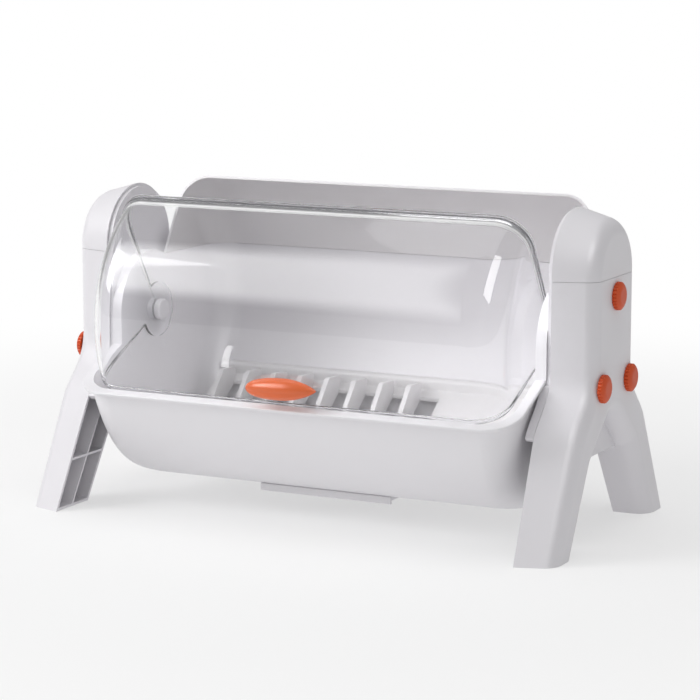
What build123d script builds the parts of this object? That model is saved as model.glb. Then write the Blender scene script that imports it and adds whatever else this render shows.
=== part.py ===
from build123d import *
import math
import os

# The drum lies along X with its axis above the origin; the front faces -Y and the floor is at z = 0.
# Lengths are in mm. Angles round the drum are counted from straight up, positive towards the front.

# drum
AXIS_HEIGHT = 165.0
DRUM_RADIUS = 136.0
DRUM_HALF_LENGTH = 205.0
DRUM_CORNER_RADIUS = 27.0
TUB_BOTTOM = 24.5
WALL = 2.5
RIM_ANGLE = 115.0
SEAM_RISE = 48.0
LAP_HEIGHT = 4.0
EAR_RADIUS = 54.0
EAR_RIM_WIDTH = 4.0
LIP_THICKNESS = 3.0
LIP_REACH = 7.0
LIP_CORNER_RADIUS = 29.0
LIP_EDGE_RADIUS = 1.2
COVER_RIM_ANGLE = -30.3

# the tub below its axis: share of the height, then of the half length, of the depth to the rear and to the
# front, and of the corner radius
TUB_SECTION_SHARES = (
    (0.0, 0.918, 0.34, 0.34, 0.9),
    (0.04, 0.948, 0.45, 0.45, 0.95),
    (0.12, 0.968, 0.58, 0.58, 1.0),
    (0.27, 0.982, 0.72, 0.715, 1.0),
    (0.43, 0.992, 0.825, 0.805, 1.0),
    (0.6, 1.0, 0.91, 0.87, 1.0),
    (0.82, 1.0, 0.984, 0.94, 1.0),
    (1.0, 1.0, 1.0, 1.0, 1.0),
    (1.18, 1.0, 0.984, 0.984, 1.0),
)

# clearances: between resting pieces, in running fits, and how far a cutter runs past its work
REST_GAP = 0.3
RUN_FIT = 0.05
OVERRUN = 20.0

# lid and its pivot
LID_DRUM_GAP = 9.5
LID_END_GAP = 8.5
LID_TOP_ANGLE = 29.0
LID_BOTTOM_ANGLE = 116.0
LID_BEAD_ANGLE = 1.7
LID_BEAD_REACH = 2.2
LID_HUB_RADIUS = 25.0
LID_STOP_ANGLE = 1.6
LID_STOP_HALF_LENGTH = 40.0
LID_STOP_REACH = 5.0
PIN_RADIUS = 4.0
PIN_HEAD_RADIUS = 9.5
PIN_HEAD_HEIGHT = 5.5
PIN_HEAD_EDGE_RADIUS = 1.5
BUSH_RADIUS = 10.0
PIVOT_BOSS_RADIUS = 7.5

# handle
HANDLE_ANGLE = 108.0
HANDLE_HALF_LENGTH = 34.0
HANDLE_HALF_HEIGHT = 10.5
HANDLE_CENTRE_RISE = 5.0
SPINDLE_SHOULDER_SHARE = 0.65
SPINDLE_FULLNESS_SHARE = 0.73
SPINDLE_TIP_SHARE = 0.16
HANDLE_CREASE_DEPTH = 0.9
HANDLE_CREASE_RADIUS = 4.0
HANDLE_SCREW_SPACING = 24.0
HANDLE_SCREW_RADIUS = 1.5
HANDLE_SCREW_HEAD_RADIUS = 3.0
HANDLE_SCREW_HEAD_HEIGHT = 1.6
HANDLE_SCREW_LENGTH = 9.0

# rack
RACK_HALF_LENGTH = 191.0
RACK_THICKNESS = 2.5
RACK_FLOOR_HEIGHT = 66.0
RACK_FLOOR_HALF_DEPTH = 76.0
RACK_SLOPE_DEPTH = 98.0
RACK_SLOPE_HEIGHT = 82.5
RACK_WALL_DEPTH = 108.0
RACK_WALL_FOOT = 89.0
RACK_REAR_TOP = 99.0
RACK_FRONT_INSET = 5.0
RACK_FRONT_TOP = 98.0
RACK_FOLD_RADIUS = 2.5
SLOT_COUNT = 8
SLOT_PITCH = 28.0
SLOT_WIDTH = 13.8
LAST_SLOT_WIDTH = 19.5
FIRST_SLOT_START = -171.0
SLOT_BRIDGE = 12.0
FIN_THICKNESS = 4.5
FIN_START = 57.0
FIN_SHOULDER = 61.0
FIN_SHOULDER_HEIGHT = 77.0
FIN_PEAK = 79.0
FIN_PEAK_HEIGHT = 98.0
FIN_END = 104.0
FIN_END_HEIGHT = 96.5
FIN_CORNER_RADIUS = 3.0

# drip tray and its rails under the tub
TRAY_HALF_LENGTH = 58.0
TRAY_HALF_DEPTH = 42.0
TRAY_HEIGHT = 7.0
TRAY_WALL = 1.6
TRAY_FLANGE = 4.0
TRAY_PULL_DEPTH = 3.0
RAIL_WALL = 2.0
DRAIN_COUNT = 5
DRAIN_PITCH = 18.0
DRAIN_WIDTH = 5.0
DRAIN_LENGTH = 30.0

# stands
PANEL_THICKNESS = 3.4
PANEL_PAD_REACH = 4.0
PANEL_FOOT_HEIGHT = 93.0
PANEL_CORNER_RADIUS = 8.0
STAND_DEPTH = 37.0
STAND_TAPER = 15.5
STAND_EDGE_RADIUS = 15.0
STAND_HALF_WIDTH = 54.0
STAND_DOME_RISE = 61.0
WAIST_HEIGHT = 150.0
KNEE_HEIGHT = 95.0
KNEE_REACH = 89.5
KNEE_WIDTH = 57.65
FOOT_REACH = 139.6
FOOT_WIDTH = 53.6
CROTCH_HEIGHT = 110.0
CROTCH_RADIUS = 14.0
WEB_FOOT_HEIGHT = 69.0
WEB_CORNER_RADIUS = 10.0
WEB_RECESS = 17.0
SPLAY = 4.0
CAP_SEAM_HEIGHT = 223.0
CAP_LAP = 7.0
RIB_THICKNESS = 2.0
CROSS_RIB_HEIGHT = 43.0

# knobs
KNOB_RADIUS = 12.0
KNOB_RIM_HEIGHT = 3.2
KNOB_HEIGHT = 6.0
KNOB_NOTCH_SIZE = 1.3
KNOB_NOTCH_COUNT = 24
KNOB_SCREW_RADIUS = 3.0
KNOB_BOSS_RADIUS = 6.5
KNOB_UPPER_RISE = 41.8
KNOB_LOWER_REACH = 30.8
KNOB_LOWER_DROP = 32.5
SCREW_END_GAP = 1.0

AXLE = Axis((0, 0, AXIS_HEIGHT), (1, 0, 0))
FAR = DRUM_HALF_LENGTH + DRUM_RADIUS + OVERRUN
FLANGE_PLANE = DRUM_HALF_LENGTH + LIP_REACH
STAND_PLANE = FLANGE_PLANE + REST_GAP + PANEL_THICKNESS + REST_GAP
STAND_OUTER = STAND_PLANE + STAND_DEPTH
SEAM_HEIGHT = AXIS_HEIGHT + SEAM_RISE
LID_RADIUS = DRUM_RADIUS - LID_DRUM_GAP
LID_HALF_LENGTH = DRUM_HALF_LENGTH - LID_END_GAP
KNOB_SPOTS = {
    "upper": (0, AXIS_HEIGHT + KNOB_UPPER_RISE),
    "front": (-KNOB_LOWER_REACH, AXIS_HEIGHT - KNOB_LOWER_DROP),
    "rear": (KNOB_LOWER_REACH, AXIS_HEIGHT - KNOB_LOWER_DROP),
}


def drum_point(radius, angle):
    """Y and Z of a point at a radius and an angle round the drum."""
    turn = math.radians(angle)
    return (-radius * math.sin(turn), AXIS_HEIGHT + radius * math.cos(turn))


def side_prism(face, start, end):
    """Solid between two X positions whose section is a face drawn in Y and Z."""
    return extrude(Plane.YZ.offset(start) * face, end - start)


def side_rod(y, z, radius, start, end):
    """Round bar along X."""
    return side_prism(Pos(y, z) * Circle(radius), start, end)


def slab(low, high):
    """Level slab that is wider than the whole part, between two heights."""
    return Pos(0, 0, (low + high) / 2) * Box(FAR + FAR, FAR + FAR, high - low)


def mirrored(shape):
    """The same shape on the other end of the drum."""
    return mirror(shape, about=Plane.YZ)


def drum_sector(half_length, radius, corner, start_angle, end_angle):
    """Part of a turned drum with rounded ends, between two angles."""
    outline = RectangleRounded(half_length + half_length, radius + radius, corner)
    upper = Pos(0, radius) * Rectangle(FAR + FAR, radius + radius)
    upright = Plane((0, 0, AXIS_HEIGHT), x_dir=(1, 0, 0), z_dir=(0, -1, 0))
    face = (upright * (outline & upper)).rotate(AXLE, start_angle)
    return revolve(face, axis=AXLE, revolution_arc=end_angle - start_angle)


def tub_section(height_share, length_share, rear_share, front_share, corner_share, inset):
    """One level section of the tub, a rounded rectangle that lies off centre where the front stands back."""
    rise = AXIS_HEIGHT - TUB_BOTTOM - inset
    height = TUB_BOTTOM + inset + rise * height_share
    rear = DRUM_RADIUS * rear_share - inset
    front = DRUM_RADIUS * front_share - inset
    half_length = DRUM_HALF_LENGTH * length_share - inset
    outline = RectangleRounded(
        half_length + half_length, rear + front, DRUM_CORNER_RADIUS * corner_share - inset
    )
    return Plane.XY.offset(height) * Pos(0, (rear - front) / 2) * outline


def drum_volume(inset):
    """The closed drum that the tub is cut from: lofted below the axis, turned above it."""
    lower = loft([tub_section(*shares, inset) for shares in TUB_SECTION_SHARES])
    lower = lower & slab(0, AXIS_HEIGHT)
    upper = drum_sector(
        DRUM_HALF_LENGTH - inset, DRUM_RADIUS - inset, DRUM_CORNER_RADIUS - inset, -90, 90
    )
    return lower + upper


def boss_spots():
    """Y, Z and radius of each boss on an ear."""
    spots = [(y, z, KNOB_BOSS_RADIUS) for y, z in KNOB_SPOTS.values()]
    return spots + [(0, AXIS_HEIGHT, PIVOT_BOSS_RADIUS)]


def ear_outline(radius):
    """Outline of an ear in Y and Z: round above the axis and upright below it, down to the rim."""
    drop = EAR_RADIUS * math.tan(math.radians(RIM_ANGLE - 90))
    top = AXIS_HEIGHT + EAR_RADIUS
    band = Pos(0, (top + AXIS_HEIGHT - drop + REST_GAP) / 2) * Rectangle(FAR, top - AXIS_HEIGHT + drop + REST_GAP)
    post = Pos(0, AXIS_HEIGHT - drop / 2) * Rectangle(radius + radius, drop)
    return (Pos(0, AXIS_HEIGHT) * Circle(radius) & band) + post


def make_tub():
    """Tub with its lip, ears, bosses, lid stop, drain slots and tray rails."""
    outer = drum_volume(0)
    inner = drum_volume(WALL)
    below_rim = make_face(
        Polyline(
            (0, AXIS_HEIGHT),
            drum_point(FAR, RIM_ANGLE),
            (-FAR, -OVERRUN),
            (FAR, -OVERRUN),
            (FAR, SEAM_HEIGHT),
            (0, SEAM_HEIGHT),
            close=True,
        )
    )
    body = outer & side_prism(below_rim + ear_outline(EAR_RADIUS), -FAR, FAR)

    rim_turn = math.radians(RIM_ANGLE)
    rim_plane = Plane(
        (0, 0, AXIS_HEIGHT), x_dir=(1, 0, 0), z_dir=(0, -math.cos(rim_turn), -math.sin(rim_turn))
    )
    lip_half_length = DRUM_HALF_LENGTH + LIP_REACH
    lip = extrude(
        RectangleRounded(
            lip_half_length + lip_half_length, DRUM_RADIUS + DRUM_RADIUS, LIP_CORNER_RADIUS
        ),
        LIP_THICKNESS,
    )
    lip = fillet(lip.edges().filter_by(GeomType.LINE).filter_by(Axis.Z, reverse=True), LIP_EDGE_RADIUS)
    front_half = Pos(0, FAR / 2, 0) * Box(FAR + FAR, FAR, OVERRUN)
    lip = rim_plane * (lip & front_half)
    ring = ear_outline(EAR_RADIUS) - ear_outline(EAR_RADIUS - EAR_RIM_WIDTH)
    shell = body + lip
    for start, end in ((DRUM_HALF_LENGTH - WALL, FLANGE_PLANE), (-FLANGE_PLANE, WALL - DRUM_HALF_LENGTH)):
        shell = shell + side_prism(ring, start, end)
    shell = shell - inner
    lap_depth = WALL / 2 - REST_GAP / 2
    lap = drum_sector(DRUM_HALF_LENGTH, DRUM_RADIUS, DRUM_CORNER_RADIUS, -90, COVER_RIM_ANGLE)
    lap = lap - drum_sector(
        DRUM_HALF_LENGTH - lap_depth,
        DRUM_RADIUS - lap_depth,
        DRUM_CORNER_RADIUS - lap_depth,
        -90,
        90,
    )
    shell = shell + (lap & slab(SEAM_HEIGHT - REST_GAP, SEAM_HEIGHT + LAP_HEIGHT))

    stop = drum_sector(
        LID_STOP_HALF_LENGTH,
        LID_RADIUS + LID_STOP_REACH,
        WALL,
        LID_BOTTOM_ANGLE + math.degrees(REST_GAP / LID_RADIUS),
        LID_BOTTOM_ANGLE + LID_STOP_ANGLE,
    )
    stop_core = drum_sector(FAR, LID_RADIUS - WALL, WALL, 90, 180)
    stop_outer = (stop - stop_core) & outer
    shell = shell + stop_outer

    for y, z, radius in boss_spots():
        for side in (1, -1):
            start = DRUM_HALF_LENGTH - WALL if side > 0 else -STAND_PLANE + REST_GAP
            end = STAND_PLANE - REST_GAP if side > 0 else -DRUM_HALF_LENGTH + WALL
            shell = shell + side_rod(y, z, radius, start, end)
    for y, z in KNOB_SPOTS.values():
        for side in (1, -1):
            start = DRUM_HALF_LENGTH - WALL / 2 if side > 0 else -FAR
            end = FAR if side > 0 else -DRUM_HALF_LENGTH + WALL / 2
            shell = shell - side_rod(y, z, KNOB_SCREW_RADIUS + RUN_FIT, start, end)
    bore_end = STAND_PLANE - WALL
    shell = shell - side_rod(0, AXIS_HEIGHT, PIN_RADIUS + RUN_FIT, -bore_end, bore_end)

    drain = SlotOverall(DRAIN_LENGTH, DRAIN_WIDTH, rotation=90)
    drains = Sketch() + [place * drain for place in GridLocations(DRAIN_PITCH, 0, DRAIN_COUNT, 1)]
    shell = shell - extrude(drains, TUB_BOTTOM + OVERRUN)
    return shell + make_rails()


def tray_top():
    """Height of the tray's upper edge."""
    return TUB_BOTTOM - REST_GAP - REST_GAP


def make_rails():
    """The two channels that the tray's flanges slide in."""
    channel_outer = TRAY_HALF_LENGTH + TRAY_FLANGE + REST_GAP + RAIL_WALL
    flange_bottom = tray_top() - TRAY_WALL
    shelf_top = flange_bottom - REST_GAP
    rails = []
    for side in (1, -1):
        web = Pos(
            side * (channel_outer - RAIL_WALL / 2), 0, (TUB_BOTTOM + WALL / 2 + shelf_top - RAIL_WALL) / 2
        ) * Box(
            RAIL_WALL,
            TRAY_HALF_DEPTH + TRAY_HALF_DEPTH,
            TUB_BOTTOM + WALL / 2 - shelf_top + RAIL_WALL,
        )
        shelf_width = channel_outer - TRAY_HALF_LENGTH - REST_GAP
        shelf = Pos(
            side * (channel_outer - shelf_width / 2), 0, shelf_top - RAIL_WALL / 2
        ) * Box(shelf_width, TRAY_HALF_DEPTH + TRAY_HALF_DEPTH, RAIL_WALL)
        rails.append(web + shelf)
    return rails[0] + rails[1]


def make_drip_tray():
    """Shallow tray with a flange on each side and a pull along its front."""
    top = tray_top()
    middle = top - TRAY_HEIGHT / 2
    length = TRAY_HALF_LENGTH + TRAY_HALF_LENGTH
    depth = TRAY_HALF_DEPTH + TRAY_HALF_DEPTH
    tray = Pos(0, 0, middle) * Box(length, depth, TRAY_HEIGHT)
    cavity = Pos(0, 0, middle + TRAY_WALL) * Box(
        length - TRAY_WALL - TRAY_WALL, depth - TRAY_WALL - TRAY_WALL, TRAY_HEIGHT
    )
    flange = Pos(0, 0, top - TRAY_WALL / 2) * Box(length + TRAY_FLANGE + TRAY_FLANGE, depth, TRAY_WALL)
    pull_length = length + TRAY_FLANGE + TRAY_FLANGE + RAIL_WALL + RAIL_WALL
    pull = Pos(0, -TRAY_HALF_DEPTH - TRAY_PULL_DEPTH / 2 - REST_GAP, middle) * Box(
        pull_length, TRAY_PULL_DEPTH, TRAY_HEIGHT
    )
    neck = Pos(0, -TRAY_HALF_DEPTH, middle) * Box(length, TRAY_PULL_DEPTH, TRAY_HEIGHT)
    pull = chamfer(pull.edges().filter_by(Axis.X).group_by(Axis.Y)[0], TRAY_PULL_DEPTH / 4)
    return (tray + flange + pull + neck) - cavity


def make_rear_cover():
    """Rear half of the roof, lapped over the tub's rear wall."""
    cover = drum_sector(DRUM_HALF_LENGTH, DRUM_RADIUS, DRUM_CORNER_RADIUS, -90, COVER_RIM_ANGLE)
    cover = cover - drum_sector(
        DRUM_HALF_LENGTH - WALL, DRUM_RADIUS - WALL, DRUM_CORNER_RADIUS - WALL, -95, 90
    )
    lap_depth = WALL / 2 + REST_GAP / 2
    inner_half = drum_sector(
        DRUM_HALF_LENGTH - lap_depth,
        DRUM_RADIUS - lap_depth,
        DRUM_CORNER_RADIUS - lap_depth,
        -95,
        90,
    )
    above_lap = cover & slab(SEAM_HEIGHT + LAP_HEIGHT + REST_GAP, FAR)
    lap = (cover & inner_half) & slab(SEAM_HEIGHT + REST_GAP, SEAM_HEIGHT + LAP_HEIGHT + WALL)
    ear = side_prism(ear_outline(EAR_RADIUS + REST_GAP), -FAR, FAR)
    return (above_lap + lap) - ear


def make_lid():
    """Clear sector with a bead round both long edges and a round hub on each end wall."""
    shell = drum_sector(
        LID_HALF_LENGTH, LID_RADIUS, DRUM_CORNER_RADIUS, LID_TOP_ANGLE, LID_BOTTOM_ANGLE
    )
    bead_length = LID_HALF_LENGTH + LID_BEAD_REACH
    bead_radius = LID_RADIUS + LID_BEAD_REACH
    bead_corner = DRUM_CORNER_RADIUS + LID_BEAD_REACH
    shell = shell + drum_sector(
        bead_length, bead_radius, bead_corner, LID_TOP_ANGLE, LID_TOP_ANGLE + LID_BEAD_ANGLE
    )
    shell = shell + drum_sector(
        bead_length,
        LID_RADIUS + LID_BEAD_REACH / 4,
        bead_corner,
        LID_BOTTOM_ANGLE - LID_BEAD_ANGLE,
        LID_BOTTOM_ANGLE,
    )
    shell = shell + side_rod(0, AXIS_HEIGHT, LID_HUB_RADIUS, -LID_HALF_LENGTH, LID_HALF_LENGTH)
    clear_inside = drum_sector(
        LID_HALF_LENGTH - WALL, LID_RADIUS - WALL, DRUM_CORNER_RADIUS - WALL, 0, 360
    )
    shell = shell - clear_inside
    bead_trim = side_rod(0, AXIS_HEIGHT, LID_HUB_RADIUS - WALL, -FAR, FAR) - side_rod(
        0, AXIS_HEIGHT, LID_HUB_RADIUS, -LID_HALF_LENGTH, LID_HALF_LENGTH
    )
    shell = shell - bead_trim
    shell = shell - side_rod(0, AXIS_HEIGHT, PIN_RADIUS + RUN_FIT, -FAR, FAR)
    for hole in handle_screw_axes():
        shell = shell - hole * Cylinder(HANDLE_SCREW_RADIUS + RUN_FIT, OVERRUN)
    return shell


def handle_frame():
    """Plane on the lid's outside under the handle: X along the drum, Z straight out of the lid."""
    turn = math.radians(HANDLE_ANGLE)
    y, z = drum_point(LID_RADIUS, HANDLE_ANGLE)
    return Plane((0, y, z), x_dir=(1, 0, 0), z_dir=(0, -math.sin(turn), math.cos(turn)))


def handle_screw_axes():
    """Places of the two handle screws on the lid, with Z straight out."""
    half = HANDLE_SCREW_SPACING / 2
    return [Location(handle_frame()) * Pos(x, 0, 0) for x in (-half, half)]


def spindle(half_length, half_height):
    """Spindle round the X axis with small blunt tips."""
    shoulder = half_length * SPINDLE_SHOULDER_SHARE
    fullness = half_height * SPINDLE_FULLNESS_SHARE
    tip = half_height * SPINDLE_TIP_SHARE
    bow = Spline(
        (-half_length, tip),
        (-shoulder, fullness),
        (0, half_height),
        (shoulder, fullness),
        (half_length, tip),
    )
    closing = Polyline((half_length, tip), (half_length, 0), (-half_length, 0), (-half_length, tip))
    return revolve(make_face([bow, closing]), axis=Axis.X)


def make_lid_handle():
    """Spindle-shaped pull with a shallow crease along its front."""
    body = Pos(0, 0, HANDLE_CENTRE_RISE) * spindle(HANDLE_HALF_LENGTH, HANDLE_HALF_HEIGHT)
    crease_rise = HANDLE_CENTRE_RISE + HANDLE_HALF_HEIGHT + HANDLE_CREASE_RADIUS - HANDLE_CREASE_DEPTH
    crease = Pos(0, 0, crease_rise) * spindle(HANDLE_HALF_LENGTH, HANDLE_CREASE_RADIUS)
    body = Location(handle_frame()) * (body - crease)
    body = body - side_rod(0, AXIS_HEIGHT, LID_RADIUS + REST_GAP, -FAR, FAR)
    for hole in handle_screw_axes():
        bore = Cylinder(
            HANDLE_SCREW_RADIUS + RUN_FIT, HANDLE_SCREW_LENGTH, align=(Align.CENTER, Align.CENTER, Align.MIN)
        )
        body = body - hole * bore
    return body


def make_lid_handle_screws():
    """Two screws put in from inside the lid."""
    inside = -WALL - REST_GAP
    thread = extrude(Plane.XY.offset(inside) * Circle(HANDLE_SCREW_RADIUS), HANDLE_SCREW_LENGTH)
    head = extrude(Plane.XY.offset(inside) * Circle(HANDLE_SCREW_HEAD_RADIUS), -HANDLE_SCREW_HEAD_HEIGHT)
    head = chamfer(head.edges().sort_by(Axis.Z)[0], HANDLE_SCREW_HEAD_HEIGHT / 2)
    return Compound(children=[hole * (thread + head) for hole in handle_screw_axes()])


def rack_outline():
    """Section of the bent rack sheet, from its front rim to its rear rim."""
    front_wall = RACK_WALL_DEPTH - RACK_FRONT_INSET
    front_foot = RACK_WALL_FOOT - RACK_FRONT_INSET / 2
    line = FilletPolyline(
        (-FAR, RACK_FRONT_TOP),
        (-front_wall, RACK_FRONT_TOP),
        (-front_wall, front_foot),
        (-RACK_SLOPE_DEPTH, RACK_SLOPE_HEIGHT),
        (-RACK_FLOOR_HALF_DEPTH, RACK_FLOOR_HEIGHT),
        (RACK_FLOOR_HALF_DEPTH, RACK_FLOOR_HEIGHT),
        (RACK_SLOPE_DEPTH, RACK_SLOPE_HEIGHT),
        (RACK_WALL_DEPTH, RACK_WALL_FOOT),
        (RACK_WALL_DEPTH, RACK_REAR_TOP),
        (FAR, RACK_REAR_TOP),
        radius=RACK_FOLD_RADIUS,
    )
    return trace(line, line_width=RACK_THICKNESS)


def fin_face(side):
    """Upright fin in Y and Z, standing on the rack's floor and slope; side is 1 at the rear, -1 at the front."""
    points = (
        (FIN_START, RACK_FLOOR_HEIGHT),
        (FIN_SHOULDER, FIN_SHOULDER_HEIGHT),
        (FIN_PEAK, FIN_PEAK_HEIGHT),
        (FIN_END, FIN_END_HEIGHT),
        (RACK_SLOPE_DEPTH, RACK_SLOPE_HEIGHT),
        (RACK_FLOOR_HALF_DEPTH, RACK_FLOOR_HEIGHT),
    )
    face = make_face(Polyline(*[(side * y, z) for y, z in points], close=True))
    tops = face.vertices().sort_by(Axis.Y)[-2:]
    return fillet(tops, FIN_CORNER_RADIUS)


def make_rack():
    """Bent sheet with a row of slots and a fin beside each slot."""
    sheet = side_prism(rack_outline(), -RACK_HALF_LENGTH, RACK_HALF_LENGTH)
    sheet = sheet & drum_volume(WALL + REST_GAP)
    fins = []
    for number in range(SLOT_COUNT):
        start = FIRST_SLOT_START + SLOT_PITCH * number
        width = LAST_SLOT_WIDTH if number == SLOT_COUNT - 1 else SLOT_WIDTH
        for side in (1, -1):
            near = SLOT_BRIDGE / 2
            middle = side * (near + RACK_SLOPE_DEPTH) / 2
            cutter = Pos(start + width / 2, middle, RACK_FLOOR_HEIGHT) * Box(
                width, RACK_SLOPE_DEPTH - near, OVERRUN + OVERRUN
            )
            sheet = sheet - cutter
            fins.append(side_prism(fin_face(side), start - FIN_THICKNESS, start))
    return sheet + fins


def leg_shift(inset, slope):
    """How far a slanting edge moves sideways when it is drawn in by the inset."""
    return inset * math.sqrt(1 + slope * slope)


def stand_outline(inset):
    """Outline of a stand in Y and Z, without the gap between its legs; the legs run on below the floor."""
    slope = (FOOT_REACH - KNEE_REACH) / KNEE_HEIGHT
    dome = AXIS_HEIGHT + STAND_DOME_RISE
    waist = STAND_HALF_WIDTH - inset
    knee = KNEE_REACH - leg_shift(inset, slope)
    under = knee + slope * (KNEE_HEIGHT + OVERRUN)
    edges = []
    for side in (1, -1):
        edges.append(Line((side * waist, dome), (side * waist, WAIST_HEIGHT)))
        edges.append(
            Spline(
                (side * waist, WAIST_HEIGHT),
                (side * knee, KNEE_HEIGHT),
                tangents=[(0, -1), (side * slope, -1)],
            )
        )
        edges.append(Line((side * knee, KNEE_HEIGHT), (side * under, -OVERRUN)))
    top = ThreePointArc((-waist, dome), (0, dome + waist), (waist, dome))
    bottom = Line((under, -OVERRUN), (-under, -OVERRUN))
    return make_face([top, bottom, *edges])


def leg_slope():
    """Sideways run of a leg's inner edge for its rise."""
    return (FOOT_REACH - FOOT_WIDTH - KNEE_REACH + KNEE_WIDTH) / KNEE_HEIGHT


def leg_inner(height):
    """Distance of a leg's inner edge from the middle at a height."""
    foot = FOOT_REACH - FOOT_WIDTH
    return foot - leg_slope() * height


def leg_gap(inset):
    """Gap that goes right through between the legs."""
    wider = leg_shift(inset, leg_slope())
    low = leg_inner(-OVERRUN - OVERRUN) + wider
    high = leg_inner(WEB_FOOT_HEIGHT + inset) + wider
    face = make_face(
        Polyline(
            (-low, -OVERRUN - OVERRUN),
            (-high, WEB_FOOT_HEIGHT + inset),
            (high, WEB_FOOT_HEIGHT + inset),
            (low, -OVERRUN - OVERRUN),
            close=True,
        )
    )
    return fillet(face.vertices().group_by(Axis.Y)[-1], WEB_CORNER_RADIUS + inset)


def leg_arch(inset):
    """Arch of the hollow above the web, seen from outside; it runs on down between the legs."""
    wider = leg_shift(inset, leg_slope())
    low = leg_inner(-OVERRUN - OVERRUN) + wider
    high = leg_inner(WEB_FOOT_HEIGHT) + wider
    slope = (CROTCH_HEIGHT - WEB_FOOT_HEIGHT) / leg_inner(WEB_FOOT_HEIGHT)
    crotch = CROTCH_HEIGHT + leg_shift(inset, slope)
    face = make_face(
        Polyline(
            (-low, -OVERRUN - OVERRUN),
            (-high, WEB_FOOT_HEIGHT),
            (0, crotch),
            (high, WEB_FOOT_HEIGHT),
            (low, -OVERRUN - OVERRUN),
            close=True,
        )
    )
    return fillet(face.vertices().sort_by(Axis.Y)[-3:], CROTCH_RADIUS + inset)


def stand_form(inset):
    """Solid shape of the right-hand stand, drawn in on every outer side by the inset."""
    depth = STAND_DEPTH - inset
    narrowing = depth * math.tan(math.radians(STAND_TAPER))
    inner = Plane.YZ.offset(STAND_PLANE) * stand_outline(inset)
    outer = Plane.YZ.offset(STAND_PLANE + depth) * stand_outline(inset + narrowing)
    form = loft([inner, outer], ruled=True)
    form = form - side_prism(leg_gap(inset), STAND_PLANE - OVERRUN, STAND_OUTER + OVERRUN)
    web_plane = STAND_OUTER - WEB_RECESS - inset
    form = form - side_prism(leg_arch(inset), web_plane, STAND_OUTER + OVERRUN)
    edges = form.faces().sort_by(Axis.X)[-1].edges().filter_by_position(Axis.Z, WALL, FAR)
    return fillet(edges, STAND_EDGE_RADIUS - inset)


def splay_wedge():
    """What the slanting inner side of the legs leaves away."""
    face = make_face(
        Polyline(
            (STAND_PLANE - OVERRUN, KNEE_HEIGHT),
            (STAND_PLANE, KNEE_HEIGHT),
            (STAND_PLANE + SPLAY, 0),
            (STAND_PLANE + SPLAY, -OVERRUN),
            (STAND_PLANE - OVERRUN, -OVERRUN),
            close=True,
        )
    )
    return extrude(Plane.XZ * face, FAR, both=True)


def leg_ribs():
    """Thin ribs inside the legs: one along the middle of each and one level across both."""
    rib = slab(CROSS_RIB_HEIGHT - RIB_THICKNESS / 2, CROSS_RIB_HEIGHT + RIB_THICKNESS / 2)
    foot = FOOT_REACH - FOOT_WIDTH / 2
    half = RIB_THICKNESS / 2
    for side in (1, -1):
        top = (foot - leg_slope() * KNEE_HEIGHT) * side
        face = make_face(
            Polyline(
                (foot * side - half, 0),
                (foot * side + half, 0),
                (top + half, KNEE_HEIGHT),
                (top - half, KNEE_HEIGHT),
                close=True,
            )
        )
        rib = rib + side_prism(face, STAND_PLANE - OVERRUN, STAND_OUTER)
    return rib


def make_stand_and_cap():
    """Right-hand stand and its domed cap, split along a level seam."""
    outer = stand_form(0)
    hollow = stand_form(WALL)
    middle = stand_form(WALL / 2)
    shell = outer - (hollow & slab(WALL, FAR))
    shell = shell + (middle & leg_ribs())
    stand = (shell & slab(0, CAP_SEAM_HEIGHT - REST_GAP / 2)) - splay_wedge()
    for y, z in KNOB_SPOTS.values():
        boss = side_rod(y, z, KNOB_BOSS_RADIUS, STAND_PLANE, STAND_OUTER - WALL / 2)
        stand = stand + boss
        stand = stand - side_rod(y, z, KNOB_SCREW_RADIUS + REST_GAP, 0, FAR)
    cap = shell & slab(CAP_SEAM_HEIGHT + REST_GAP / 2, FAR)
    lap = stand_form(WALL + REST_GAP) - stand_form(WALL + WALL)
    lap = lap & slab(CAP_SEAM_HEIGHT - CAP_LAP, CAP_SEAM_HEIGHT + WALL)
    joint = (middle - stand_form(WALL + WALL)) & slab(
        CAP_SEAM_HEIGHT + REST_GAP / 2, CAP_SEAM_HEIGHT + WALL
    )
    return stand, cap + lap + joint


def panel_form(inset, start, end):
    """Solid with the panel's outline, drawn in by the inset, between two X positions."""
    width = KNEE_REACH + KNEE_REACH - inset - inset
    window = RectangleRounded(width, FAR - inset - inset, PANEL_CORNER_RADIUS - inset)
    window = Pos(0, PANEL_FOOT_HEIGHT + FAR / 2) * window
    return side_prism(stand_outline(inset), start, end) & side_prism(window, start, end)


def below_lip(inset):
    """Region in Y and Z under the tub's lip and ear, drawn in from them by the inset."""
    slope = math.tan(math.radians(RIM_ANGLE - 90))
    drop = (LIP_THICKNESS + REST_GAP + inset) / math.cos(math.radians(RIM_ANGLE - 90))
    far_height = AXIS_HEIGHT - FAR * slope - drop
    ear_height = AXIS_HEIGHT - EAR_RADIUS * slope - drop
    return make_face(
        Polyline(
            (-FAR, -FAR),
            (-FAR, far_height),
            (-EAR_RADIUS, ear_height),
            (EAR_RADIUS, ear_height),
            (FAR, far_height),
            (FAR, -FAR),
            close=True,
        )
    )


def make_inner_panel():
    """Right-hand panel: a plate with a hollow pad under the tub's lip and a hole for each boss."""
    start = FLANGE_PLANE + REST_GAP
    end = STAND_PLANE - REST_GAP
    pad_start = start - PANEL_PAD_REACH
    pad = panel_form(0, pad_start, end) & side_prism(below_lip(0), pad_start, end)
    pocket = panel_form(WALL, pad_start + WALL, FAR) & side_prism(below_lip(WALL), pad_start, FAR)
    panel = (panel_form(WALL, start, end) + pad) - pocket
    for y, z, radius in boss_spots():
        panel = panel - side_rod(y, z, radius + REST_GAP, 0, FAR)
    return panel


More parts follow.
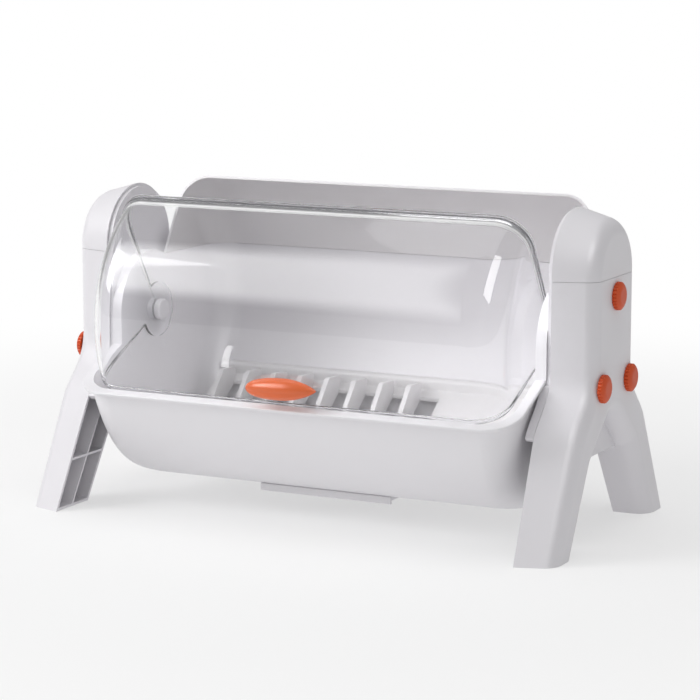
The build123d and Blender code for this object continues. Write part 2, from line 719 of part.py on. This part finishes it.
def make_knob(spot):
    """Right-hand knob with a ribbed edge and its screw."""
    start = STAND_OUTER + REST_GAP
    half_profile = make_face(
        [
            Line((0, 0), (KNOB_RADIUS, 0)),
            Line((KNOB_RADIUS, 0), (KNOB_RADIUS, KNOB_RIM_HEIGHT)),
            ThreePointArc(
                (KNOB_RADIUS, KNOB_RIM_HEIGHT),
                (KNOB_RADIUS * math.sqrt(3) / 2, (KNOB_RIM_HEIGHT + KNOB_HEIGHT) / 2),
                (KNOB_RADIUS / 2, KNOB_HEIGHT),
            ),
            Line((KNOB_RADIUS / 2, KNOB_HEIGHT), (0, KNOB_HEIGHT)),
            Line((0, KNOB_HEIGHT), (0, 0)),
        ]
    )
    head = revolve(Plane.XZ * half_profile, axis=Axis.Z)
    ring = PolarLocations(KNOB_RADIUS, KNOB_NOTCH_COUNT)
    notch = Rectangle(KNOB_NOTCH_SIZE, KNOB_NOTCH_SIZE, rotation=45)
    head = head - extrude(Sketch() + [place * notch for place in ring], KNOB_HEIGHT)
    length = start - DRUM_HALF_LENGTH + WALL / 2 - SCREW_END_GAP
    head = head + extrude(Circle(KNOB_SCREW_RADIUS), -length)
    y, z = KNOB_SPOTS[spot]
    return Location(Plane((start, y, z), x_dir=(0, 1, 0), z_dir=(1, 0, 0))) * head


def make_pivot_pin():
    """Right-hand pin with a wide round head inside the lid."""
    head_start = LID_HALF_LENGTH - WALL - REST_GAP - PIN_HEAD_HEIGHT
    head = side_rod(0, AXIS_HEIGHT, PIN_HEAD_RADIUS, head_start, head_start + PIN_HEAD_HEIGHT)
    head = fillet(head.edges().group_by(Axis.X)[0], PIN_HEAD_EDGE_RADIUS)
    end = STAND_PLANE - WALL - SCREW_END_GAP
    return head + side_rod(0, AXIS_HEIGHT, PIN_RADIUS, head_start, end)


def make_pivot_bush():
    """Right-hand spacer ring between the lid's hub and the ear."""
    start = LID_HALF_LENGTH + REST_GAP
    end = DRUM_HALF_LENGTH - WALL - REST_GAP
    ring = side_rod(0, AXIS_HEIGHT, BUSH_RADIUS, start, end)
    return ring - side_rod(0, AXIS_HEIGHT, PIN_RADIUS + RUN_FIT, start, end)


os.makedirs("parts", exist_ok=True)

stand, stand_cap = make_stand_and_cap()
pieces = {
    "tub": make_tub(),
    "rear_cover": make_rear_cover(),
    "lid": make_lid(),
    "lid_handle": make_lid_handle(),
    "lid_handle_screws": make_lid_handle_screws(),
    "rack": make_rack(),
    "drip_tray": make_drip_tray(),
}
paired = {
    "stand": stand,
    "stand_cap": stand_cap,
    "inner_panel": make_inner_panel(),
    "pivot_pin": make_pivot_pin(),
    "pivot_bush": make_pivot_bush(),
}
for spot in KNOB_SPOTS:
    paired[spot + "_knob"] = make_knob(spot)
for name, shape in paired.items():
    pieces["right_" + name] = shape
    pieces["left_" + name] = mirrored(shape)

for name, shape in pieces.items():
    export_step(shape, "parts/" + name + ".step")
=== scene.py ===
import math

import bmesh
import bpy
from mathutils import Matrix, Vector


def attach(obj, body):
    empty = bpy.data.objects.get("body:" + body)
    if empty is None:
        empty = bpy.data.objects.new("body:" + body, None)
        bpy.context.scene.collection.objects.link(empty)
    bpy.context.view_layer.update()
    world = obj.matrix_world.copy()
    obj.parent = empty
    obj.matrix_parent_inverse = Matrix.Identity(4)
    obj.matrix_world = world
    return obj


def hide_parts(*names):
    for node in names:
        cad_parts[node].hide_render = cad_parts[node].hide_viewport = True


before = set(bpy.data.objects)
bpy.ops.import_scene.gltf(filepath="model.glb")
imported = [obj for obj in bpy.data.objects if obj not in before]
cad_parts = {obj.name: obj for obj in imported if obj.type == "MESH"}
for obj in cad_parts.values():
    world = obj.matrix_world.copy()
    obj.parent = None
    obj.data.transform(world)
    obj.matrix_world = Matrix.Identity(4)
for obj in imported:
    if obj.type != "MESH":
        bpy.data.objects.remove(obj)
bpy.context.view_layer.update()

# The photographer's place: a long lens, a little above the counter and to the right of the drainer.
# The lens, the angle and the aim were fitted to the edges of the tub, the lid and the stands.
camera_azimuth = math.radians(26.79)
camera_elevation = math.radians(9.58)
camera_distance = 2.31357
camera_aim = Vector((0.00206, 0.0, 0.14161))
camera_back = Vector((
    math.sin(camera_azimuth) * math.cos(camera_elevation),
    -math.cos(camera_azimuth) * math.cos(camera_elevation),
    math.sin(camera_elevation),
))
camera_data = bpy.data.cameras.new("photo_camera")
camera_data.sensor_width = 36.0
camera_data.lens = 134.24
camera_data.clip_end = 100.0
camera = bpy.data.objects.new("photo_camera", camera_data)
camera.location = camera_aim + camera_back * camera_distance
camera.rotation_euler = camera_back.to_track_quat("Z", "Y").to_euler()
bpy.context.scene.collection.objects.link(camera)
bpy.context.scene.camera = camera
bpy.context.scene.view_settings.view_transform = "Standard"


# The studio floor: a wide sweep of white card under the drainer, which keeps its soft shadow. Light Path
# shows its far parts as white to the camera, to glossy plastic and through the clear lid, and gives the
# drainer's underside a little more light than the card would bring back from the soft boxes alone.
class Value:
    """A number that varies over a surface; arithmetic on it adds the Math nodes."""

    def __init__(self, finish, socket):
        self.finish = finish
        self.socket = socket

    def maths(self, operation, first, second=0.0):
        made = self.finish.node("ShaderNodeMath", {"operation": operation}, {0: first, 1: second})
        return self.finish.value(made)

    def __add__(self, other):
        return self.maths("ADD", self, other)

    def __sub__(self, other):
        return self.maths("SUBTRACT", self, other)

    def __rsub__(self, other):
        return self.maths("SUBTRACT", other, self)

    def __mul__(self, other):
        return self.maths("MULTIPLY", self, other)

    def __truediv__(self, other):
        return self.maths("DIVIDE", self, other)

    def __rtruediv__(self, other):
        return self.maths("DIVIDE", other, self)

    def __pow__(self, other):
        return self.maths("POWER", self, other)

    def __rpow__(self, other):
        return self.maths("POWER", other, self)

    def __abs__(self):
        return self.maths("ABSOLUTE", self)

    __radd__ = __add__
    __rmul__ = __mul__

    def at_least(self, lowest):
        return self.maths("MAXIMUM", self, lowest)

    def degrees_from(self, other):
        """The angle in degrees whose tangent is this value over the other."""
        return self.maths("ARCTAN2", self, other) * math.degrees(1.0)


class Finish:
    """The nodes of a material, or of the world, added one call at a time."""

    def __init__(self, name, library="materials"):
        self.owner = getattr(bpy.data, library).new(name)
        self.owner.use_nodes = True
        self.tree = self.owner.node_tree
        self.shader = next(node for node in self.tree.nodes if node.outputs)
        self.output = next(node for node in self.tree.nodes if not node.outputs)

    def node(self, kind, settings=None, sockets=None):
        made = self.tree.nodes.new(kind)
        for key, setting in (settings or {}).items():
            setattr(made, key, setting)
        self.feed(made, sockets or {})
        return made

    def feed(self, target, sockets):
        for key, given in sockets.items():
            if isinstance(given, Value):
                given = given.socket
            if isinstance(given, bpy.types.NodeSocket):
                self.tree.links.new(given, target.inputs[key])
            else:
                target.inputs[key].default_value = given

    def value(self, made, output=0):
        return Value(self, made.outputs[output])

    def place(self):
        return self.node("ShaderNodeTexCoord").outputs["Object"]

    def noise(self, scale, detail=2.0, roughness=0.5):
        sockets = {"Vector": self.place(), "Scale": scale, "Detail": detail, "Roughness": roughness}
        return self.value(self.node("ShaderNodeTexNoise", None, sockets))

    def patchy(self, scale, low, high):
        """A number that wanders between two others, in patches."""
        return self.noise(scale) * (high - low) + low

    def ramp(self, value, start, end, low=0.0, high=1.0, course="LINEAR"):
        sockets = {"Value": value, "From Min": start, "From Max": end, "To Min": low, "To Max": high}
        return self.value(self.node("ShaderNodeMapRange", {"interpolation_type": course}, sockets))

    def blend(self, share, low, high):
        """One colour turning into another; each is three numbers or a link."""
        low, high = ((*tone, 1.0) if isinstance(tone, tuple) else tone for tone in (low, high))
        return self.node("ShaderNodeMix", {"data_type": "RGBA"}, {0: share, 6: low, 7: high}).outputs[2]

    def bump(self, height, strength, distance):
        sockets = {"Height": height, "Strength": strength, "Distance": distance}
        return self.node("ShaderNodeBump", None, sockets).outputs[0]

    def layer(self, share, below, above):
        """One shader over another, which it hides where the share is 1."""
        return self.node("ShaderNodeMixShader", None, {0: share, 1: below.outputs[0], 2: above.outputs[0]})

    def show(self, surface):
        self.feed(self.output, {"Surface": surface.outputs[0]})


card_near, card_far, card_near_white = 0.32, 1.15, 0.5
card_bounce_share, card_bounce_extra = 0.22, 0.5
card_half_length = 30.0
pure_white = (1.0, 1.0, 1.0, 1.0)
card = Finish("studio_card")
card_rays = card.node("ShaderNodeLightPath")
card_seen = card.value(card_rays, "Is Camera Ray") + card.value(card_rays, "Is Glossy Ray")
card_seen = card_seen + card.value(card_rays, "Is Transmission Ray")
card_bounce = card.value(card_rays, "Is Diffuse Ray")
card_reach = card.value(card.node("ShaderNodeVectorMath", {"operation": "LENGTH"}, {0: card.place()}), 1)
card_white = card.ramp(card_reach, card_near, card_far, card_near_white, 1.0, "SMOOTHSTEP")
card_glow = card.node("ShaderNodeEmission", None, {
    "Color": pure_white,
    "Strength": 1.0 + card_bounce * card_bounce_extra,
})
card.feed(card.shader, {"Base Color": (0.86, 0.86, 0.86, 1.0), "Roughness": 0.9, "Specular IOR Level": 0.1})
card.show(card.layer(card_seen * card_white + card_bounce * card_bounce_share, card.shader, card_glow))
floor_mesh = bmesh.new()
bmesh.ops.create_grid(floor_mesh, x_segments=1, y_segments=1, size=card_half_length)
floor_data = bpy.data.meshes.new("studio_floor")
floor_mesh.to_mesh(floor_data)
floor_mesh.free()
floor_data.materials.append(card.owner)
studio_floor = bpy.data.objects.new("studio_floor", floor_data)
bpy.context.scene.collection.objects.link(studio_floor)


# The studio light: an even room, white to the camera and dimmer on the drainer, and three soft boxes.
# The key stands high at the left, the fill is faint and low at the right front, the third hangs overhead.
room_light = 0.4
room = Finish("studio_world", "worlds")
bpy.context.scene.world = room.owner
room_seen = room.value(room.node("ShaderNodeLightPath"), "Is Camera Ray")
room.feed(room.shader, {"Color": pure_white, "Strength": room.ramp(room_seen, 0.0, 1.0, room_light, 1.0)})

drainer_middle = Vector((0.0, 0.0, 0.14))
for box_name, box_place, box_size, box_power in (
    ("key_soft_box", (-1.8, -1.1, 1.3), 1.2, 26.0),
    ("fill_soft_box", (1.2, -2.0, 0.7), 1.2, 1.5),
    ("top_soft_box", (0.0, 0.1, 2.0), 1.6, 15.0),
):
    box_data = bpy.data.lights.new(box_name, "AREA")
    box_data.shape = "SQUARE"
    box_data.size = box_size
    box_data.energy = box_power
    soft_box = bpy.data.objects.new(box_name, box_data)
    soft_box.location = box_place
    to_drainer = drainer_middle - Vector(box_place)
    soft_box.rotation_euler = to_drainer.to_track_quat("-Z", "Y").to_euler()
    soft_box.visible_glossy = False
    bpy.context.scene.collection.objects.link(soft_box)


# Three reflectors, which only shiny surfaces see. The broad one fades at its rims and draws the soft band
# across the lid, the side one makes the bright patch on its right corner, the low one a short streak.
# Each hangs from four corners: left top, left low, right low and right top.
broad_corners = ((-1.60, -0.60, 1.40), (-1.58, -1.20, 0.62), (-0.36, -1.45, 0.52), (-0.36, -0.55, 1.50))
side_corners = (
    (0.573, -0.353, 1.242), (0.578, -0.892, 0.884), (1.007, -0.692, 0.656), (0.908, -0.154, 1.074),
)
low_corners = (
    (-0.148, -0.296, 0.117), (-0.156, -0.27, 0.045), (-0.148, -0.27, 0.044), (-0.142, -0.296, 0.115),
)
mirror_squares = 12
for mirror_name, mirror_corners, mirror_power, mirror_falloff, fade_length, fade_width in (
    ("broad_reflector", broad_corners, 15.0, 0.75, 0.05, 0.30),
    ("side_reflector", side_corners, 9.0, 0.0, 0.02, 0.02),
    ("low_reflector", low_corners, 9.0, 0.0, 0.05, 0.02),
):
    mirror = Finish(mirror_name)
    spread = mirror.node("ShaderNodeSeparateXYZ", None, {0: mirror.node("ShaderNodeUVMap").outputs[0]})
    along = mirror.value(spread, 0)
    across = mirror.value(spread, 1)
    glow = 1.0 - along * mirror_falloff
    for rim, fade in (
        (along, fade_length),
        (1.0 - along, fade_length),
        (across, fade_width),
        (1.0 - across, fade_width),
    ):
        glow = mirror.ramp(rim, 0.0, fade, course="SMOOTHSTEP") * glow
    tone = mirror.node("ShaderNodeCombineColor", None, {0: glow, 1: glow, 2: glow})
    mirror.show(mirror.node("ShaderNodeEmission", None, {"Color": tone.outputs[0], "Strength": mirror_power}))
    panel = bmesh.new()
    bmesh.ops.create_grid(panel, x_segments=mirror_squares, y_segments=mirror_squares, size=0.5)
    layer = panel.loops.layers.uv.new("spread")
    for face in panel.faces:
        for loop in face.loops:
            loop[layer].uv = (loop.vert.co.x + 0.5, loop.vert.co.y + 0.5)
    left_top, left_low, right_low, right_top = (Vector(corner) for corner in mirror_corners)
    for vert in panel.verts:
        share = vert.co.x + 0.5
        vert.co = left_low.lerp(right_low, share).lerp(left_top.lerp(right_top, share), vert.co.y + 0.5)
    panel_data = bpy.data.meshes.new(mirror_name)
    panel.to_mesh(panel_data)
    panel.free()
    panel_data.materials.append(mirror.owner)
    reflector = bpy.data.objects.new(mirror_name, panel_data)
    for ray in ("camera", "diffuse", "transmission", "shadow", "volume_scatter"):
        setattr(reflector, "visible_" + ray, False)
    bpy.context.scene.collection.objects.link(reflector)


# The tub: the white lower half of the drum, with its lip, ears and tray rails, in one polypropylene moulding.
# It is satin, with a faint spark-eroded grain, and hangs between the two end stands.
weld_distance, sliver_length = 0.00001, 0.000002
moulded_sharp = 28.0


def finished(mesh, name, finish, body, sharp_degrees):
    """The mesh as a smooth piece that rides on a body, with its edges sharp past an angle."""
    for face in mesh.faces:
        face.smooth = True
    for edge in mesh.edges:
        edge.smooth = edge.is_manifold and edge.calc_face_angle(math.pi) < math.radians(sharp_degrees)
    data = bpy.data.meshes.new(name)
    mesh.to_mesh(data)
    mesh.free()
    data.materials.append(finish.owner)
    piece = bpy.data.objects.new(name, data)
    bpy.context.scene.collection.objects.link(piece)
    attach(piece, body)
    return piece


def moulded(node, name, finish, body):
    """A welded, smooth copy of a moulded node, which stands for it."""
    shell = bmesh.new()
    shell.from_mesh(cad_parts[node].data)
    bmesh.ops.remove_doubles(shell, verts=shell.verts, dist=weld_distance)
    bmesh.ops.dissolve_degenerate(shell, edges=shell.edges, dist=sliver_length)
    piece = finished(shell, name, finish, body, moulded_sharp)
    weighted = piece.modifiers.new("even_shading", "WEIGHTED_NORMAL")
    weighted.keep_sharp = True
    weighted.weight = 90
    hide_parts(node)


cloud_scale, cloud_detail = 9.0, 3.0
grain_scale = 1400.0
patch_scale, patch_depth = 30.0, 0.04


def satin_plastic(name, tones, roughness):
    """Moulded plastic: an even colour, a faint cloudiness and a fine spark-eroded grain."""
    finish = Finish(name)
    grain = finish.noise(grain_scale, roughness=0.6)
    finish.feed(finish.shader, {
        "Base Color": finish.blend(finish.noise(cloud_scale, cloud_detail), *tones),
        "Roughness": finish.patchy(patch_scale, roughness - patch_depth, roughness + patch_depth),
        "Normal": finish.bump(grain, strength=0.12, distance=0.0004),
        "IOR": 1.49,
    })
    return finish


tub_tones = ((0.775, 0.763, 0.787), (0.80, 0.787, 0.812))
tub_roughness = 0.38
tub_white = satin_plastic("tub_white", tub_tones, tub_roughness)
moulded("tub", "tub_shell", tub_white, "base")


# The rear cover: the opaque back of the drum's roof, moulded like the tub and seated on its rear wall.
# Its inside carries painted shade, a greyer colour: a point's distance from a rounded core in the drum tells
# the faces apart.
drum_axis = 0.165
cover_core_half_length, cover_core_radius = 0.178, 0.109
cover_inner_face, cover_outer_face = 0.0250, 0.0262
cover_painted_shade_tones = ((0.665, 0.648, 0.66), (0.695, 0.678, 0.69))
cover_white = satin_plastic("cover_white", tub_tones, tub_roughness)
cover_spot = cover_white.node("ShaderNodeSeparateXYZ", None, {0: cover_white.place()})
cover_rise = cover_white.value(cover_spot, 2) - drum_axis
cover_radius = (cover_white.value(cover_spot, 1) ** 2.0 + cover_rise ** 2.0) ** 0.5
past_core_end = (abs(cover_white.value(cover_spot, 0)) - cover_core_half_length).at_least(0.0)
past_core_side = (cover_radius - cover_core_radius).at_least(0.0)
cover_skin = (past_core_end ** 2.0 + past_core_side ** 2.0) ** 0.5
cover_outside = cover_white.shader.inputs["Base Color"].links[0].from_socket
# Painted shade: the cover's inner face is given a greyer colour than its outer face.
cover_painted_shade = cover_white.blend(cover_white.noise(cloud_scale, cloud_detail), *cover_painted_shade_tones)
cover_painted_shade_ramp = cover_white.ramp(cover_skin, cover_inner_face, cover_outer_face)
cover_colour_with_painted_shade = cover_white.blend(cover_painted_shade_ramp, cover_painted_shade, cover_outside)
cover_white.feed(cover_white.shader, {"Base Color": cover_colour_with_painted_shade})
moulded("rear_cover", "rear_cover_shell", cover_white, "base")


# The rack: a loose curved insert, whose slots and fins hold the plates on edge. It is moulded in a slightly
# brighter white, is laid into the tub and lifts out for washing.
rack_tones = ((0.80, 0.788, 0.795), (0.83, 0.818, 0.825))
rack_roughness = 0.42
rack_white = satin_plastic("rack_white", rack_tones, rack_roughness)
moulded("rack", "rack_insert", rack_white, "base")


# The drip tray: a shallow pan of the tub's own plastic, for the water that leaves through the drain slots.
# It hangs by its flanges in two rails under the tub and draws out to the front.
moulded("drip_tray", "drip_tray_pan", tub_white, "tray")


# The end stands: hollow A-shaped legs with a domed cap and a flat panel on the drum's side. They are moulded
# in the same plastic, a shade greyer, and the knobs hold their parts together.
stand_tones = ((0.73, 0.715, 0.743), (0.755, 0.74, 0.768))
stand_roughness = 0.42
stand_white = satin_plastic("stand_white", stand_tones, stand_roughness)
for side in ("left", "right"):
    moulded(side + "_stand", side + "_stand_shell", stand_white, "base")
    moulded(side + "_stand_cap", side + "_stand_dome", stand_white, "base")
    moulded(side + "_inner_panel", side + "_stand_panel", stand_white, "base")


# The lid's bearings: a round-headed pin at each end, pushed through the tub's ear, and a spacer ring on it
# which keeps the lid clear of the ear. They are of the tub's plastic.
for side in ("left", "right"):
    moulded(side + "_pivot_pin", side + "_lid_pin", tub_white, "base")
    moulded(side + "_pivot_bush", side + "_lid_bush", tub_white, "base")


# The lid: one clear styrene moulding, polished inside and out. It is a sector of the drum with end walls
# and a hub ring at each end. Angles run from straight up towards the front, lengths are in metres.
lid_half_length = 0.1965
lid_radius = 0.1265
lid_corner = 0.027
lid_wall = 0.0025
lid_weld = 0.00002
lid_hub, lid_pin_hole = 0.0252, 0.00405
lid_first, lid_last = 29.0, 116.0
lid_steps, hub_steps = 58, 240
corner_steps = 12
lid_support = 0.006
lid_sharp = 35.0
lid_swing = {"cent": (0.0, 0.0, drum_axis), "axis": (1.0, 0.0, 0.0)}


def lid_path(reach, corner):
    """The lid's section as (x, radius) points, from the right hub over the roof to the left hub.

    A point close to each end of a bend keeps the shading of the flat walls beside it flat.
    """
    half = lid_half_length + reach
    top = lid_radius + reach
    turns = [math.radians(90.0 * step / corner_steps) for step in range(corner_steps + 1)]
    bend = [(half - corner + corner * math.cos(a), top - corner + corner * math.sin(a)) for a in turns]
    before, after = (half, top - corner - lid_support), (half - corner - lid_support, top)
    right = [(half, lid_hub), before] + bend + [after]
    return right + [(0.0, top)] + [(-x, radius) for x, radius in reversed(right)]


def drum_point(x, radius, degrees):
    """A point at an angle round the drum, counted from straight up towards the front."""
    a = math.radians(degrees)
    return Vector((x, -radius * math.sin(a), drum_axis + radius * math.cos(a)))


def painted_rim_line(finish, degrees, half_width, strength):
    """How much a thin painted line of light or shade along the rim shows: most in its middle, and nothing
    past its half width.
    """
    spot = finish.node("ShaderNodeSeparateXYZ", None, {0: finish.place()})
    front = finish.value(spot, 1) * -1.0
    turn = front.degrees_from(finish.value(spot, 2) - drum_axis)
    return (1.0 - abs(turn - degrees) / half_width).at_least(0.0) ** 0.5 * strength


lid_tones = ((0.965, 0.965, 0.975), (0.985, 0.985, 0.99))
clear_lid = Finish("clear_lid")
clear_lid.feed(clear_lid.shader, {
    "Base Color": clear_lid.blend(clear_lid.noise(scale=14.0), *lid_tones),
    "Roughness": clear_lid.patchy(scale=60.0, low=0.015, high=0.045),
    "IOR": 1.5,
    "Transmission Weight": 1.0,
})
lid_shadow = clear_lid.value(clear_lid.node("ShaderNodeLightPath"), "Is Shadow Ray")
lid_through = clear_lid.node("ShaderNodeBsdfTransparent", None, {"Color": (0.95, 0.95, 0.955, 1.0)})
lid_body = clear_lid.layer(lid_shadow, clear_lid.shader, lid_through)
# A painted highlight: a thin bright line along the lid, at the root of the top bead.
root_painted_highlight = clear_lid.node("ShaderNodeBsdfPrincipled", None, {
    "Base Color": (0.95, 0.95, 0.95, 1.0),
    "Roughness": 0.2,
})
root_highlight_share = painted_rim_line(clear_lid, degrees=33.0, half_width=0.95, strength=0.75)
clear_lid.show(clear_lid.layer(root_highlight_share, lid_body, root_painted_highlight))

lid_mesh = bmesh.new()
rib = [lid_mesh.verts.new(drum_point(x, radius, lid_first)) for x, radius in lid_path(0.0, lid_corner)]
span = [lid_mesh.edges.new(pair) for pair in zip(rib, rib[1:])]
lid_sweep = math.radians(lid_last - lid_first)
bmesh.ops.spin(lid_mesh, geom=rib + span, angle=lid_sweep, steps=lid_steps, **lid_swing)
for end in (lid_half_length, -lid_half_length):
    spoke = [lid_mesh.verts.new(drum_point(end, radius, lid_first)) for radius in (lid_pin_hole, lid_hub)]
    ring = [lid_mesh.edges.new(spoke)]
    bmesh.ops.spin(
        lid_mesh, geom=spoke + ring, angle=math.tau, steps=hub_steps, use_merge=True, **lid_swing
    )
bmesh.ops.remove_doubles(lid_mesh, verts=lid_mesh.verts, dist=lid_weld)
bmesh.ops.recalc_face_normals(lid_mesh, faces=lid_mesh.faces)
bmesh.ops.solidify(lid_mesh, geom=list(lid_mesh.faces), thickness=lid_wall)
lid = finished(lid_mesh, "lid_shell", clear_lid, "lid", lid_sharp)
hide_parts("lid")


# The lid's beads: the thick rounded rims of the same moulding, which stiffen its upper and lower edges.
# The upper one carries a painted shade line, next to the painted highlight line at its root in the lid's own
# finish.
bead_outer_corner, bead_inner_corner = 0.0292, 0.0244
bead_inner_reach = -0.0026
bead_rounding, bead_rounding_steps = 0.0006, 3
bead_rim_degrees = 60.0
bead_steps = 3
bead_clear = Finish("bead_clear")
bead_clear.feed(bead_clear.shader, {
    "Base Color": (0.96, 0.96, 0.97, 1.0),
    "Roughness": bead_clear.patchy(scale=80.0, low=0.03, high=0.07),
    "IOR": 1.5,
    "Transmission Weight": 1.0,
})
# A painted shade: a dark line along the top bead.
bead_painted_shade = bead_clear.node("ShaderNodeBsdfPrincipled", None, {
    "Base Color": (0.11, 0.11, 0.12, 1.0),
    "Roughness": 0.3,
})
bead_shade_share = painted_rim_line(bead_clear, degrees=31.3, half_width=0.75, strength=0.9)
bead_body = bead_clear.layer(bead_shade_share, bead_clear.shader, bead_painted_shade)
bead_shadow = bead_clear.value(bead_clear.node("ShaderNodeLightPath"), "Is Shadow Ray")
bead_through = bead_clear.node("ShaderNodeBsdfTransparent", None, {"Color": (0.8, 0.8, 0.8, 1.0)})
bead_clear.show(bead_clear.layer(bead_shadow, bead_body, bead_through))
for bead_name, bead_first, bead_last, bead_reach in (
    ("lid_top_bead", lid_first, 32.0, 0.0022),
    ("lid_lower_bead", 114.3, lid_last, 0.0006),
):
    bead = bmesh.new()
    outer_path = lid_path(bead_reach, bead_outer_corner)
    inner_path = lid_path(bead_inner_reach, bead_inner_corner)
    outside = [bead.verts.new(drum_point(x, radius, bead_first)) for x, radius in outer_path]
    inside = [bead.verts.new(drum_point(x, radius, bead_first)) for x, radius in inner_path]
    for corners in zip(outside, outside[1:], inside[1:], inside):
        bead.faces.new(corners)
    strip = list(bead.verts) + list(bead.edges) + list(bead.faces)
    bead_sweep = math.radians(bead_last - bead_first)
    bmesh.ops.spin(bead, geom=strip, angle=bead_sweep, steps=bead_steps, **lid_swing)
    bmesh.ops.remove_doubles(bead, verts=bead.verts, dist=weld_distance)
    bmesh.ops.recalc_face_normals(bead, faces=bead.faces)
    rims = [edge for edge in bead.edges if edge.calc_face_angle(0.0) > math.radians(bead_rim_degrees)]
    bmesh.ops.bevel(
        bead, geom=rims, offset=bead_rounding, segments=bead_rounding_steps, profile=0.5,
        affect="EDGES", material=-1,
    )
    finished(bead, bead_name, bead_clear, "lid", lid_sharp)


# The pull: a glossy orange spindle, blunt at its left end and pointed at its right, with a shallow crease
# along its outer side. It is moulded on its own and held on the lid by two small steel screws.
pull_half_length, pull_half_height, pull_rise = 0.034, 0.0095, 0.005
pull_degrees = 107.0
pull_tilt = math.radians(1.8)
pull_steps, pull_sides = 40, 72
pull_blunt_end, pull_pointed_end = (2.6, 0.5), (2.0, 0.85)
pull_tip_radius = 0.00002
crease_depth, crease_width, crease_radius = 0.10, 0.20, 0.007
pull_clearance = 0.0003
pull_tones = ((0.70, 0.125, 0.03), (0.76, 0.145, 0.035))
orange_gloss = Finish("orange_gloss")
orange_gloss.feed(orange_gloss.shader, {
    "Base Color": orange_gloss.blend(orange_gloss.noise(scale=40.0), *pull_tones),
    "Roughness": orange_gloss.patchy(scale=60.0, low=0.27, high=0.33),
    "Normal": orange_gloss.bump(orange_gloss.noise(scale=900.0), strength=0.06, distance=0.0003),
    "Coat Weight": 0.08,
    "Coat Roughness": 0.2,
})
pull = bmesh.new()
profile = []
for step in range(pull_steps + 1):
    share = 0.5 - 0.5 * math.cos(math.pi * step / pull_steps)
    from_middle = abs(2.0 * share - 1.0)
    power, root = pull_blunt_end if share < 0.5 else pull_pointed_end
    radius = max((1.0 - from_middle ** power) ** root * pull_half_height, pull_tip_radius)
    profile.append(pull.verts.new((pull_half_length * (2.0 * share - 1.0), 0.0, radius)))
ridge = [pull.edges.new(pair) for pair in zip(profile, profile[1:])]
bmesh.ops.spin(
    pull, geom=profile + ridge, cent=(0.0, 0.0, 0.0), axis=(1.0, 0.0, 0.0), angle=math.tau,
    steps=pull_sides, use_merge=True,
)
bmesh.ops.remove_doubles(pull, verts=pull.verts, dist=weld_distance)
for vert in pull.verts:
    turn = math.atan2(vert.co.y, vert.co.z)
    radius = math.hypot(vert.co.y, vert.co.z)
    crease = crease_depth * math.exp(-((turn / crease_width) ** 2)) * min(1.0, radius / crease_radius)
    vert.co.y *= 1.0 - crease
    vert.co.z *= 1.0 - crease
bmesh.ops.bisect_plane(
    pull, geom=list(pull.verts) + list(pull.edges) + list(pull.faces),
    plane_co=(0.0, 0.0, pull_clearance - pull_rise), plane_no=(0.0, 0.0, 1.0), clear_inner=True,
)
bmesh.ops.holes_fill(pull, edges=[edge for edge in pull.edges if edge.is_boundary])
bmesh.ops.recalc_face_normals(pull, faces=pull.faces)
pull_angle = math.radians(pull_degrees)
outward = Vector((0.0, -math.sin(pull_angle), math.cos(pull_angle)))
upward = Vector((0.0, math.cos(pull_angle), math.sin(pull_angle)))
lengthwise = Vector((1.0, 0.0, 0.0)) * math.cos(pull_tilt) + upward * math.sin(pull_tilt)
pull_place = Matrix((lengthwise, outward.cross(lengthwise), outward)).transposed().to_4x4()
pull_place.translation = drum_point(0.0, lid_radius + pull_rise, pull_degrees)
bmesh.ops.transform(pull, matrix=pull_place, verts=pull.verts)
lid_pull = finished(pull, "lid_pull", orange_gloss, "lid", lid_sharp)
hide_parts("lid_handle")

steel = Finish("screw_steel")
steel.feed(steel.shader, {
    "Base Color": (0.55, 0.55, 0.57, 1.0),
    "Metallic": 1.0,
    "Roughness": steel.patchy(scale=200.0, low=0.25, high=0.40),
})
moulded("lid_handle_screws", "lid_pull_screws", steel, "lid")


# The knobs: six equal ribbed heads of orange plastic, each moulded round its screw shank. They are satin,
# a little deeper in colour than the pull, and are turned in by hand to hold the stands' panels.
knob_tones = ((0.60, 0.075, 0.018), (0.66, 0.09, 0.02))
orange_satin = Finish("orange_satin")
orange_satin.feed(orange_satin.shader, {
    "Base Color": orange_satin.blend(orange_satin.noise(scale=55.0), *knob_tones),
    "Roughness": orange_satin.patchy(scale=70.0, low=0.42, high=0.50),
    "Normal": orange_satin.bump(orange_satin.noise(scale=1200.0), strength=0.1, distance=0.0003),
    "Specular IOR Level": 0.3,
})
for side in ("left", "right"):
    for place in ("upper", "front", "rear"):
        knob = side + "_" + place + "_knob"
        moulded(knob, knob + "_head", orange_satin, knob)
